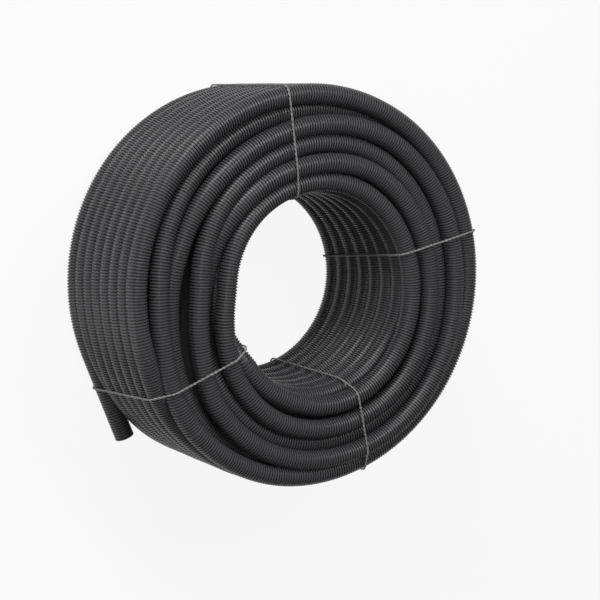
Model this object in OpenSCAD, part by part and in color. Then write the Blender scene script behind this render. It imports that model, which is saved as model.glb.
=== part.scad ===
// Coil of corrugated conduit, held by four ties of twine and standing on its end.
// The coil's axis runs along Z, its front face looks up and the twine under it rests on z = 0.
// Angles round the coil run from +X through +Y, as seen from above.

/* [Conduit] */
// Diameter over the crests of the conduit
conduit_od = 25; // [20:0.5:32]
// Clear diameter inside the conduit
conduit_bore = 18.4; // [12:0.1:20]
// Thickness of the conduit's wall
wall = 0.6; // [0.4:0.05:0.8]
// Distance from one crest to the next
rib_pitch = 3.6; // [3:0.1:5]

/* [Coil] */
// Radius of the coil over its outermost turns
coil_r = 250; // [220:1:300]
// Turns side by side in the outer layer
turns = 8; // [5:1:12]
// Distance between turns side by side, as a share of the conduit's diameter
turn_share = 1.02; // [1.01:0.005:1.06]
// Distance between one layer and the next, as a share of the conduit's diameter
layer_share = 0.84; // [0.75:0.01:0.85]

/* [Free end] */
// Angle round the coil at which the last turn leaves it
leave_angle = 202; // [198:1:210]
// Length of the straight free end
free_len = 120; // [60:1:140]

/* [Ties] */
// Diameter of the twine
twine_d = 2.4; // [1:0.1:4]
// Gap between the twine and the turns under it
twine_gap = 0.3; // [0.25:0.05:0.5]

/* [Hidden] */

// How far the end turns of each layer sit back from the coil's faces, in turns, from the outer layer in
set_back = [0, 0.5, 0.1, 0.4, 0.15, 0.45];
// Layers whose end turns the twine bears on
held = [0, 4, 5];
// Angle round the coil at which the last turn comes up beside its neighbour
rise_angle = 240;
// Angle round the coil of each tie
top_angle = 102;
right_angle = 12;
foot_angle = 292;
left_angle = 212;

rho = conduit_od / 2;
turn_pitch = conduit_od * turn_share;
layer_pitch = conduit_od * layer_share;
last_layer = len(set_back) - 1;
half_w = (turns - 1) * turn_pitch / 2;
outer_c = coil_r - rho;
// How far the core of the pack comes out beside the turns that show, on the rim and in the eye
core_edge = rho / 10;
// How far back from the middles of a layer's end turns its core stops
core_back = rho / 2;

root_r = conduit_bore / 2 + wall;
crest_w = rib_pitch * 0.55;

twine_r = twine_d / 2;
twine_sides = 12;
bend_r = rho + twine_gap + twine_r;
// Turn of the twine from one ring of its surface to the next
bend_step = 15;
// The tie on the left passes over the free end, a little further out than the turns
over_free = cos(left_angle - leave_angle);
free_c = (outer_c + rho) / over_free - rho;

conduit_black = [0.13, 0.13, 0.14];
twine_grey = [0.62, 0.62, 0.6];

$fn = 96;

function layer_c(i) = outer_c - i * layer_pitch;
function layer_end(i) = half_w - set_back[i] * turn_pitch;

// Raises what is drawn about the middle of the coil's width until the twine rests on the floor.
module on_end() {
    translate([0, 0, half_w + rho + twine_gap + twine_d]) children();
}

// Half section through one layer: x is the distance from the coil's axis, y runs along it.
module layer_section(i) {
    c = layer_c(i);
    end = layer_end(i);
    count = round(2 * end / turn_pitch);
    step = 2 * end / count;
    // The rearmost turn of the outer layer is the last one, and stops short of a full ring.
    first = i == 0 ? 1 : 0;
    for (k = [first : count]) translate([c, k * step - end]) circle(rho);
    inside = i == last_layer ? core_edge : layer_pitch / 2;
    outside = i == 0 ? core_edge : layer_pitch / 2;
    core_start = first * step - end + (first == 0 ? core_back : 0);
    translate([c - inside, core_start]) square([inside + outside, end - core_back - core_start]);
}

module wound_turns() {
    rotate_extrude() for (i = [0 : last_layer]) layer_section(i);
}

module last_turn() {
    sweep = 360 - rise_angle + leave_angle;
    rotate([0, 0, rise_angle]) {
        rotate_extrude(angle = sweep) translate([outer_c, -half_w]) circle(rho);
        translate([outer_c, 0, -half_w]) sphere(rho);
    }
}

// Half section of the corrugated wall: x is the distance from the conduit's middle.
module wall_section(length) {
    difference() {
        union() {
            square([root_r, length]);
            for (y = [0 : rib_pitch : length - crest_w]) translate([0, y]) square([rho, crest_w]);
        }
        translate([0, -1]) square([conduit_bore / 2, length + 2]);
        for (y = [0 : rib_pitch : length - crest_w])
            translate([0, y + wall]) square([rho - wall, crest_w - 2 * wall]);
    }
}

module free_end() {
    rotate([0, 0, leave_angle]) translate([outer_c, 0, -half_w]) rotate([-90, 0, 0])
        rotate_extrude() wall_section(free_len);
}

module conduit() {
    color(conduit_black) on_end() {
        wound_turns();
        last_turn();
        free_end();
    }
}

// Twine stretched round the corners p, which are the middles of the turns it bears on. The corners
// run anticlockwise, and each stop on the route is a place and the way outward there.
module twine_loop(p) {
    n = len(p);
    out = [for (k = [0 : n - 1]) let (way = p[(k + 1) % n] - p[k]) atan2(-way[0], way[1])];
    stops = [
        for (k = [0 : n - 1])
            let (bend = (out[k] - out[(k + n - 1) % n] + 360) % 360, steps = ceil(bend / bend_step))
                for (j = [0 : steps])
                    let (a = out[k] - bend * (1 - j / steps), way = [cos(a), sin(a)])
                        [p[k] + bend_r * way, way]
    ];
    polyhedron(
        points = [for (s = stops, j = [0 : twine_sides - 1]) let (t = 360 * j / twine_sides)
            concat(s[0] + twine_r * cos(t) * s[1], twine_r * sin(t))],
        faces = [for (i = [0 : len(stops) - 1], j = [0 : twine_sides - 1])
            let (m = (i + 1) % len(stops), q = (j + 1) % twine_sides)
                [i * twine_sides + j, i * twine_sides + q, m * twine_sides + q, m * twine_sides + j]]
    );
}

// A tie across the coil at an angle; rear_c is how far out it passes over the last turn.
module tie(angle, rear_c = outer_c) {
    front = [for (i = held) [layer_c(i), layer_end(i)]];
    rear = [for (k = [len(held) - 1 : -1 : 1]) [layer_c(held[k]), -layer_end(held[k])]];
    color(twine_grey) on_end() rotate([0, 0, angle]) rotate([90, 0, 0])
        twine_loop(concat(front, rear, [[rear_c, -half_w]]));
}

module tie_top() tie(top_angle);

module tie_right() tie(right_angle);

module tie_foot() tie(foot_angle);

module tie_left() tie(left_angle, free_c);

conduit();
tie_top();
tie_right();
tie_foot();
tie_left();
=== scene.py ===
import math

import bpy
from mathutils import Matrix, Vector


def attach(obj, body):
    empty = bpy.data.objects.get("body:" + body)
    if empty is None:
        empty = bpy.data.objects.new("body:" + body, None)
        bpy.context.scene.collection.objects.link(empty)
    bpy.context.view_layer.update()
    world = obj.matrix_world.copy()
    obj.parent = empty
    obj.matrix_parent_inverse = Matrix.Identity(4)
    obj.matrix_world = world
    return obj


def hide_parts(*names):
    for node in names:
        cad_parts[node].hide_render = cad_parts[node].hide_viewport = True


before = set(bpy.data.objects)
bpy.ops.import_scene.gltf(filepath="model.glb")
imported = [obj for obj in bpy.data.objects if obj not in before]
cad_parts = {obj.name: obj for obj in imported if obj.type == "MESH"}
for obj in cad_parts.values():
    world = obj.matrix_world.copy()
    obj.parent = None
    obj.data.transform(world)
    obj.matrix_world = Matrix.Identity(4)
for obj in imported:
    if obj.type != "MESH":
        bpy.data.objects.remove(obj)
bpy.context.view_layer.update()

# ---------------------------------------------------------------- studio
# A plain white floor under a white room. A strong soft lamp stands beyond the coil's back edge, one
# above its right side lights the face, and two weak ones fill the rim and the face from the left.
# The camera looks down on the face from the left.
coil_middle = Vector((0, 0, 0.10445))
camera_distance = 2.2

toward_camera = Vector((-0.4856, 0.1130, 0.8668)).normalized()
camera_right = Vector((0.8724, 0, 0.4888)).normalized()
camera_up = toward_camera.cross(camera_right)
bpy.ops.object.camera_add(location=coil_middle + camera_distance * toward_camera)
camera = bpy.context.object
camera.rotation_euler = (
    Matrix((camera_right, camera_up, toward_camera)).transposed().to_euler()
)
camera.data.lens = 103.25
camera.data.shift_x = 0.0386
camera.data.shift_y = -0.0335
bpy.context.scene.camera = camera
bpy.context.scene.view_settings.view_transform = "Standard"

for place, size, watts in (
    ((0.4, 0.95, 1.9), 0.6, 12),
    ((-0.9, 1.9, 1.3), 0.9, 28),
    ((-1.9, -0.6, 0.3), 0.6, 4),
    ((-1.0, 0.1, 2.0), 0.8, 4),
):
    bpy.ops.object.light_add(type="AREA", location=place)
    lamp = bpy.context.object
    lamp.data.size = size
    lamp.data.energy = watts
    lamp.rotation_euler = (coil_middle - Vector(place)).to_track_quat("-Z", "Y").to_euler()


class Socket:
    """One output of a node, so that shader sums are written as they are read."""

    def __init__(self, tree, out):
        self.tree, self.out = tree, out

    def node(self, kind, settings=(), values=(), output=0):
        return add_node(self.tree, kind, dict(settings), dict(values), output)

    def maths(self, operation, left, right):
        return add_node(self.tree, "ShaderNodeMath", {"operation": operation}, {0: left, 1: right})

    def __add__(self, other):
        return self.maths("ADD", self, other)

    def __mul__(self, other):
        return self.maths("MULTIPLY", self, other)

    __radd__, __rmul__ = __add__, __mul__


def add_node(tree, kind, settings, values, output=0):
    """A node of a kind, with its settings first and then the values or links of its sockets."""
    made = tree.nodes.new(kind)
    for key, value in settings.items():
        if key == "stops":
            ramp = made.color_ramp.elements
            while len(ramp) < len(value):
                ramp.new(0.5)
            for stop, (place, colour) in zip(ramp, value):
                stop.position, stop.color = place, colour
        else:
            setattr(made, key, value)
    for key, value in values.items():
        if isinstance(value, Socket):
            tree.links.new(value.out, made.inputs[key])
        else:
            made.inputs[key].default_value = value
    return Socket(tree, made.outputs[output]) if made.outputs else None


def new_material(name):
    material = bpy.data.materials.new(name)
    material.use_nodes = True
    material.node_tree.nodes.clear()
    return material, material.node_tree


air = bpy.data.worlds.new("studio_air")
bpy.context.scene.world = air
air.use_nodes = True
tree = air.node_tree
tree.nodes.clear()
seen = add_node(tree, "ShaderNodeLightPath", {}, {}, "Is Camera Ray")
mirrored = add_node(tree, "ShaderNodeLightPath", {}, {}, "Is Glossy Ray")
glow = add_node(
    tree,
    "ShaderNodeBackground",
    {},
    {"Color": (1, 1, 1, 1), "Strength": 0.9 * seen + 0.2 * mirrored + 0.08},
)
add_node(tree, "ShaderNodeOutputWorld", {}, {"Surface": glow})

bpy.ops.mesh.primitive_plane_add(size=60, location=(0, 0, 0))
floor = bpy.context.object
floor.name = "floor"
floor_paint, tree = new_material("floor_paint")
matt = add_node(tree, "ShaderNodeBsdfDiffuse", {}, {"Color": (0.9, 0.9, 0.9, 1)})
lit = add_node(tree, "ShaderNodeEmission", {}, {"Color": (1, 1, 1, 1), "Strength": 1.0})
seen = add_node(tree, "ShaderNodeLightPath", {}, {}, "Is Camera Ray")
mirrored = add_node(tree, "ShaderNodeLightPath", {}, {}, "Is Glossy Ray")
share = 0.9 * seen + 0.95 * mirrored
add_node(
    tree,
    "ShaderNodeOutputMaterial",
    {},
    {"Surface": add_node(tree, "ShaderNodeMixShader", {}, {0: share, 1: matt, 2: lit})},
)
floor.data.materials.append(floor_paint)


# ---------------------------------------------------------------- conduit: wound turns
# One length of black corrugated plastic tube, wound side by side and layer on layer round an open
# eye. Each stretch is one rib of tube, repeated along its route and closed at its hidden ends.
crest_r = 0.0125
root_r = 0.0111
rib_pitch = 0.0036
turn_pitch = 0.0255
half_width = 0.08925
ring_r = 0.2375
eye_r = 0.134

# Angles, in degrees, between which a turn crosses to the place of the next one.
CROSSING = (195, 226)
LAST_CROSSING = (212, 243)

# The turns of the front face from the eye out: the angle round the coil, counted on from lap to lap,
# then the radius of the tube's middle and how far it lies below the topmost turns, both in mm.
FACE_TURNS = [
    (225, 130, 0), (255, 143, 2), (285, 154, 0), (315, 155, 0), (360, 146, 0), (390, 142, 2),
    (420, 137, 4), (450, 129, 5), (465, 125, 5), (495, 121, 3), (525, 119, 0), (540, 119, 0),
    (555, 126, 0), (570, 137, 0), (585, 150, 0), (615, 172, 0), (645, 182, 0), (675, 185, 0),
    (720, 174, 0), (750, 169, 0), (780, 163, 0), (810, 151, 0), (825, 147, 0), (855, 143, 2),
    (885, 143, 10), (900, 144, 16), (915, 150, 20), (930, 160, 20), (945, 170, 15), (975, 192, 12),
    (1005, 201, 12), (1035, 203, 12), (1080, 193, 12), (1110, 190, 10), (1140, 186, 8),
    (1170, 176, 5), (1185, 170, 4), (1215, 163, 2), (1245, 157, 0), (1260, 155, 0), (1275, 162, 0),
    (1290, 174, 0), (1305, 191, 0), (1335, 212, 0), (1365, 221, 0), (1395, 223, 0), (1440, 214, 0),
    (1470, 213, 0), (1500, 210, 0), (1530, 199, 0), (1545, 193, 0), (1575, 188, 0), (1605, 188, 4),
    (1620, 190, 10), (1635, 194, 16), (1650, 203, 20), (1665, 214, 20), (1695, 222, 24),
    (1725, 224, 26), (1800, 224, 26), (1830, 226, 22), (1860, 225, 17), (1890, 218, 14),
    (1905, 215, 13), (1935, 213, 8), (1965, 210, 2), (1980, 209, 0), (1995, 212, 0), (2010, 222, 0),
    (2025, 232, 0), (2055, 237.5, 3), (2085, 237.5, 8), (2115, 237.5, 9), (2160, 237.5, 6),
    (2190, 237.5, 3), (2220, 237.5, 0), (2340, 237.5, 0),
]
OUTER_START = 2025
OUTER_HALF = OUTER_START + 360 * 4
EYE_START = 225
REAR_START, REAR_END = 585, 1860
LAST_FACE_ANGLE = 2340
LEAVE_ANGLE = 202
FREE_START = LEAVE_ANGLE + 360 * 13


def ease(x):
    x = min(max(x, 0), 1)
    return x * x * (3 - 2 * x)


def face_place(angle):
    """Radius and depth below the topmost turns, in metres, on a smooth curve through the table."""
    i = 0
    while i < len(FACE_TURNS) - 2 and FACE_TURNS[i + 1][0] < angle:
        i += 1
    before, here, there, after = (
        FACE_TURNS[min(max(i + k, 0), len(FACE_TURNS) - 1)] for k in (-1, 0, 1, 2)
    )
    span = there[0] - here[0]
    t = min(max((angle - here[0]) / span, 0), 1)
    place = []
    for c in (1, 2):
        leaving = (there[c] - before[c]) / (there[0] - before[0]) * span
        arriving = (after[c] - here[c]) / (after[0] - here[0]) * span
        place.append(
            (2 * t**3 - 3 * t**2 + 1) * here[c] + (t**3 - 2 * t**2 + t) * leaving
            + (3 * t**2 - 2 * t**3) * there[c] + (t**3 - t**2) * arriving
        )
    return place[0] / 1000, place[1] / 1000


def coil_point(angle, radius, above_middle):
    a = math.radians(angle)
    return coil_middle + Vector((radius * math.cos(a), radius * math.sin(a), above_middle))


def crossed(angle, crossing=CROSSING):
    """Crossings made by an angle, counting part of one while it is being made."""
    laps, rest = divmod(angle - crossing[0], 360)
    return laps + ease(rest / (crossing[1] - crossing[0]))


def front_point(angle):
    radius, depth = face_place(angle)
    return coil_point(angle, radius, half_width - depth)


def rear_point(angle):
    """The rear face is wound as the front one is, and both of its ends come out of the pack."""
    radius, depth = face_place(angle)
    hidden = (1 - ease((angle - REAR_START) / 30)) + ease((angle - REAR_END + 30) / 30)
    return coil_point(angle, radius, depth + 0.03 * hidden - half_width)


def outer_point(angle):
    """The outer layer, from the front row to the rear one, from which the free end leaves."""
    radius, depth = face_place(min(angle, LAST_FACE_ANGLE))
    row = max(crossed(angle) - 6, 0)
    if angle > OUTER_START + 360 * 6:
        row = 6 + min(max(crossed(angle, LAST_CROSSING) - 12, 0), 1)
    return coil_point(angle, radius, half_width - depth - row * turn_pitch)


def eye_point(angle):
    """The turns that line the eye, which lies off the coil's middle, most of all at the front."""
    row = crossed(angle) - 1
    above = row * turn_pitch - half_width
    off = 0.75 + 0.25 * above / half_width
    a = math.radians(angle)
    hidden = 1 - ease((angle - EYE_START) / 30)
    radius = eye_r + off * (0.014 * math.cos(a) - 0.0085 * math.sin(a)) + 0.02 * hidden
    return coil_point(angle, radius, above)


def route(point_at, start, end, step=3.0):
    count = round((end - start) / step)
    return [point_at(start + (end - start) * i / count) for i in range(count + 1)]


def lay_curve(name, points, closed=False):
    """A guide through points, for a length of tube or twine to follow."""
    data = bpy.data.curves.new(name, "CURVE")
    data.dimensions = "3D"
    data.twist_mode = "MINIMUM"
    spline = data.splines.new("POLY")
    spline.points.add(len(points) - 1)
    for place, p in zip(spline.points, points):
        place.co = (*p, 1)
    spline.use_cyclic_u = closed
    guide = bpy.data.objects.new(name, data)
    bpy.context.collection.objects.link(guide)
    return guide


def select_only(piece):
    bpy.ops.object.select_all(action="DESELECT")
    piece.select_set(True)
    bpy.context.view_layer.objects.active = piece


def one_rib(sides):
    """One pitch of the tube's wall: groove, rise, crest and fall, with its crest marked, so that the
    grooves can be given painted shade.
    """
    bpy.ops.object.select_all(action="DESELECT")
    bpy.ops.mesh.primitive_circle_add(vertices=sides, radius=root_r, location=(0, 0, 0))
    rib = bpy.context.object
    bpy.ops.object.mode_set(mode="EDIT")
    last_z, last_r = 0, root_r
    for share, radius in ((0.28, root_r), (0.42, crest_r), (0.86, crest_r), (1, root_r)):
        bpy.ops.mesh.extrude_region_move(
            TRANSFORM_OT_translate={"value": (0, 0, share * rib_pitch - last_z)}
        )
        bpy.ops.transform.resize(value=(radius / last_r, radius / last_r, 1))
        last_z, last_r = share * rib_pitch, radius
    bpy.ops.mesh.select_all(action="SELECT")
    bpy.ops.mesh.normals_make_consistent(inside=False)
    bpy.ops.object.mode_set(mode="OBJECT")
    crest = rib.data.attributes.new("crest", "FLOAT", "POINT")
    for vertex, mark in zip(rib.data.vertices, crest.data):
        mark.value = float(vertex.co.xy.length > (root_r + crest_r) / 2)
    return rib


def ribbed_tube(name, points, sides=12):
    """Ribs side by side along the points."""
    guide = lay_curve(name + "_route", points)
    tube = one_rib(sides)
    tube.name = name
    row = tube.modifiers.new("ribs", "ARRAY")
    row.fit_type = "FIT_CURVE"
    row.curve = guide
    row.use_relative_offset = False
    row.use_constant_offset = True
    row.constant_offset_displace = (0, 0, rib_pitch)
    row.use_merge_vertices = True
    row.merge_threshold = 0.00005
    bend = tube.modifiers.new("route", "CURVE")
    bend.object = guide
    bend.deform_axis = "POS_Z"
    select_only(tube)
    bpy.ops.object.modifier_apply(modifier=row.name)
    bpy.ops.object.modifier_apply(modifier=bend.name)
    bpy.data.objects.remove(guide)
    return tube


def close_ends(tube):
    select_only(tube)
    bpy.ops.object.mode_set(mode="EDIT")
    bpy.ops.mesh.select_all(action="SELECT")
    bpy.ops.mesh.fill_holes(sides=64)
    bpy.ops.mesh.select_all(action="SELECT")
    bpy.ops.mesh.normals_make_consistent(inside=False)
    bpy.ops.object.mode_set(mode="OBJECT")


conduit_plastic, tree = new_material("conduit_plastic")
place = add_node(tree, "ShaderNodeTexCoord", {}, {}, "Object")
broad = place.node("ShaderNodeTexNoise", {}, {"Vector": place, "Scale": 9.0, "Detail": 3.0})
fine = place.node("ShaderNodeTexNoise", {}, {"Vector": place, "Scale": 320.0, "Detail": 2.0})
crest = add_node(tree, "ShaderNodeAttribute", {"attribute_name": "crest"}, {}, "Fac")
# The grooves carry no crest mark, so tone is 0 there and they take the darkest stop: painted shade
# in the grooves. On the crests the tone varies at random with the noise.
tone = crest * (0.62 + 0.22 * broad + 0.22 * fine)
colour = tone.node(
    "ShaderNodeValToRGB",
    {
        "stops": [
            (0.0, (0.030, 0.030, 0.031, 1)),
            (0.6, (0.062, 0.063, 0.068, 1)),
            (1.0, (0.095, 0.096, 0.104, 1)),
        ]
    },
    {"Fac": tone},
)
skin = add_node(
    tree,
    "ShaderNodeBsdfPrincipled",
    {},
    {"Base Color": colour, "Roughness": 0.33 + 0.12 * fine, "IOR": 1.5},
)
add_node(tree, "ShaderNodeOutputMaterial", {}, {"Surface": skin})


def finish_conduit(piece):
    select_only(piece)
    bpy.ops.object.shade_smooth_by_angle(angle=math.radians(40))
    piece.data.materials.clear()
    piece.data.materials.append(conduit_plastic)
    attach(piece, "root")


turn_routes = {
    "front_turns": route(front_point, EYE_START, OUTER_START),
    "outer_turns_front": route(outer_point, OUTER_START, OUTER_HALF),
    "outer_turns_rear": route(outer_point, OUTER_HALF, FREE_START),
    "eye_turns": route(eye_point, EYE_START, EYE_START + 360 * 7),
    "rear_turns": route(rear_point, REAR_START, REAR_END),
}
for name, points in turn_routes.items():
    turns = ribbed_tube(name, points)
    close_ends(turns)
    finish_conduit(turns)
    if name == "front_turns":
        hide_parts("conduit")


# ---------------------------------------------------------------- conduit: inner layers
# The layers of conduit between the turns that show. Nothing but shade is seen of them, so they are
# one ring, which is open round the eye and ends behind the outer turns.
pack_half_width = 0.066
pack_r = 0.226
pack_base = coil_middle.z - pack_half_width
bpy.ops.object.select_all(action="DESELECT")
bpy.ops.mesh.primitive_circle_add(
    vertices=72, radius=eye_r + 0.004, location=(0.0105, -0.0064, pack_base)
)
pack = bpy.context.object
pack.name = "inner_layers"
bpy.ops.object.transform_apply(location=True)
bpy.ops.object.mode_set(mode="EDIT")
bpy.ops.mesh.primitive_circle_add(vertices=72, radius=pack_r, location=(0, 0, pack_base))
bpy.ops.mesh.select_all(action="SELECT")
bpy.ops.mesh.bridge_edge_loops()
bpy.ops.mesh.select_all(action="SELECT")
bpy.ops.mesh.extrude_region_move(TRANSFORM_OT_translate={"value": (0, 0, 2 * pack_half_width)})
bpy.ops.mesh.select_all(action="SELECT")
bpy.ops.mesh.normals_make_consistent(inside=False)
bpy.ops.object.mode_set(mode="OBJECT")
# The ring stands for real conduit, but with no crest mark it takes the grooves' painted-shade colour
# all over.
finish_conduit(pack)


# ---------------------------------------------------------------- conduit: free end
# The last stretch leaves the rear row straight and is cut square, so its hollow wall shows. The wall
# is blown into the same ribs inside as outside.
free_length = 0.120
wall_thickness = 0.0006
free_start = outer_point(FREE_START)
leaving = math.radians(LEAVE_ANGLE)
free_way = Vector((-math.sin(leaving), math.cos(leaving), 0))
free_route = [free_start + free_way * free_length * i / 8 for i in range(9)]
free_end = ribbed_tube("free_end", free_route, 24)
wall = free_end.modifiers.new("wall", "SOLIDIFY")
wall.thickness = wall_thickness
wall.offset = -1
select_only(free_end)
bpy.ops.object.modifier_apply(modifier=wall.name)
finish_conduit(free_end)
turn_routes["free_end"] = free_route


# ---------------------------------------------------------------- ties
# Four ties of grey twine, each pulled tight round the coil's section and leaning a little on its
# way. The twine is two plies laid round each other and pressed together a little, so each ply winds
# round the tie's own route.
ply_r = 0.00078
ply_turn = 0.012
ply_pressed = 0.8
rim_r, eye_wall_r, top_z = 0.25, 0.125, 0.208

twine, tree = new_material("twine")
place = add_node(tree, "ShaderNodeTexCoord", {}, {}, "Object")
hairs = place.node("ShaderNodeTexNoise", {}, {"Vector": place, "Scale": 900.0, "Detail": 3.0})
grime = place.node("ShaderNodeTexNoise", {}, {"Vector": place, "Scale": 30.0, "Detail": 2.0})
tone = 0.6 * hairs + 0.4 * grime
colour = tone.node(
    "ShaderNodeValToRGB",
    {"stops": [(0.3, (0.20, 0.20, 0.205, 1)), (0.7, (0.44, 0.44, 0.43, 1))]},
    {"Fac": tone},
)
dent = add_node(tree, "ShaderNodeBump", {}, {"Strength": 0.4, "Distance": 0.0003, "Height": hairs})
yarn = add_node(
    tree,
    "ShaderNodeBsdfPrincipled",
    {},
    {"Base Color": colour, "Roughness": 0.8, "Normal": dent},
)
add_node(tree, "ShaderNodeOutputMaterial", {}, {"Surface": yarn})


def section_at(angle):
    """Middles of the tubes that a half plane through the coil's axis cuts: radius and height."""
    a = math.radians(angle)
    along, across = Vector((math.cos(a), math.sin(a), 0)), Vector((-math.sin(a), math.cos(a), 0))
    middles = []
    for points in turn_routes.values():
        for p, q in zip(points, points[1:]):
            before, after = p.dot(across), q.dot(across)
            if before <= 0 < after and p.dot(along) > 0:
                cut = p.lerp(q, before / (before - after))
                middles.append(Vector((cut.dot(along), cut.z)))
    return middles


def tie_route(front, rear):
    """Where the middle of twine lies when it is pulled tight round the section. Each face has two
    angles, at the rim and at the eye, and the twine leans from one to the next."""
    reach = crest_r + 2 * ply_r
    corners = []
    for k in range(180):
        way = Vector((math.cos(math.radians(2 * k)), math.sin(math.radians(2 * k))))
        inward = (1 - way.x) / 2
        angle = front[0] * (1 - inward) + front[1] * inward
        for _ in range(2):
            r, z = max(section_at(angle), key=way.dot) + reach * way
            inward = min(max((rim_r - r) / (rim_r - eye_wall_r), 0), 1)
            down = min(max((top_z - z) / top_z, 0), 1)
            above = front[0] * (1 - inward) + front[1] * inward
            below = rear[0] * (1 - inward) + rear[1] * inward
            angle = above * (1 - down) + below * down
        a = math.radians(angle)
        corners.append(Vector((r * math.cos(a), r * math.sin(a), z)))
    return corners


def laid_ply(corners, turns, start):
    """A ply's own route, which winds round a closed route a number of times."""
    sides = list(zip(corners, corners[1:] + corners[:1]))
    length = sum((q - p).length for p, q in sides)
    count = turns * 10
    around = (corners[60] - corners[0]).cross(corners[120] - corners[0]).normalized()
    points, side, passed = [], 0, 0.0
    for i in range(count):
        way = length * i / count
        while passed + (sides[side][1] - sides[side][0]).length < way:
            passed += (sides[side][1] - sides[side][0]).length
            side += 1
        p, q = sides[side]
        ahead = (q - p).normalized()
        middle = p + ahead * (way - passed)
        turn = 2 * math.pi * (turns * i / count) + start
        aside = math.cos(turn) * around + math.sin(turn) * around.cross(ahead)
        points.append(middle + ply_pressed * ply_r * aside)
    return points


for name, front, rear in (
    ("top", (99.5, 101.5), (100, 101)),
    ("right", (14.4, 15.5), (9, 7)),
    ("foot", (288, 294.5), (290, 291)),
    ("left", (209, 216.5), (212.5, 215)),
):
    corners = tie_route(front, rear)
    length = sum((q - p).length for p, q in zip(corners, corners[1:] + corners[:1]))
    plies = []
    for start in (0, math.pi):
        ply = lay_curve("ply", laid_ply(corners, round(length / ply_turn), start), closed=True)
        ply.data.bevel_depth = ply_r
        ply.data.bevel_resolution = 1
        select_only(ply)
        bpy.ops.object.convert(target="MESH")
        plies.append(bpy.context.object)
    for ply in plies:
        ply.select_set(True)
    bpy.ops.object.join()
    tie = bpy.context.object
    tie.name = "twine_" + name
    bpy.ops.object.mode_set(mode="EDIT")
    bpy.ops.mesh.select_all(action="SELECT")
    bpy.ops.mesh.remove_doubles(threshold=0.00001)
    bpy.ops.mesh.normals_make_consistent(inside=False)
    bpy.ops.object.mode_set(mode="OBJECT")
    bpy.ops.object.shade_smooth()
    tie.data.materials.clear()
    tie.data.materials.append(twine)
    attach(tie, "root")
    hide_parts("tie_" + name)
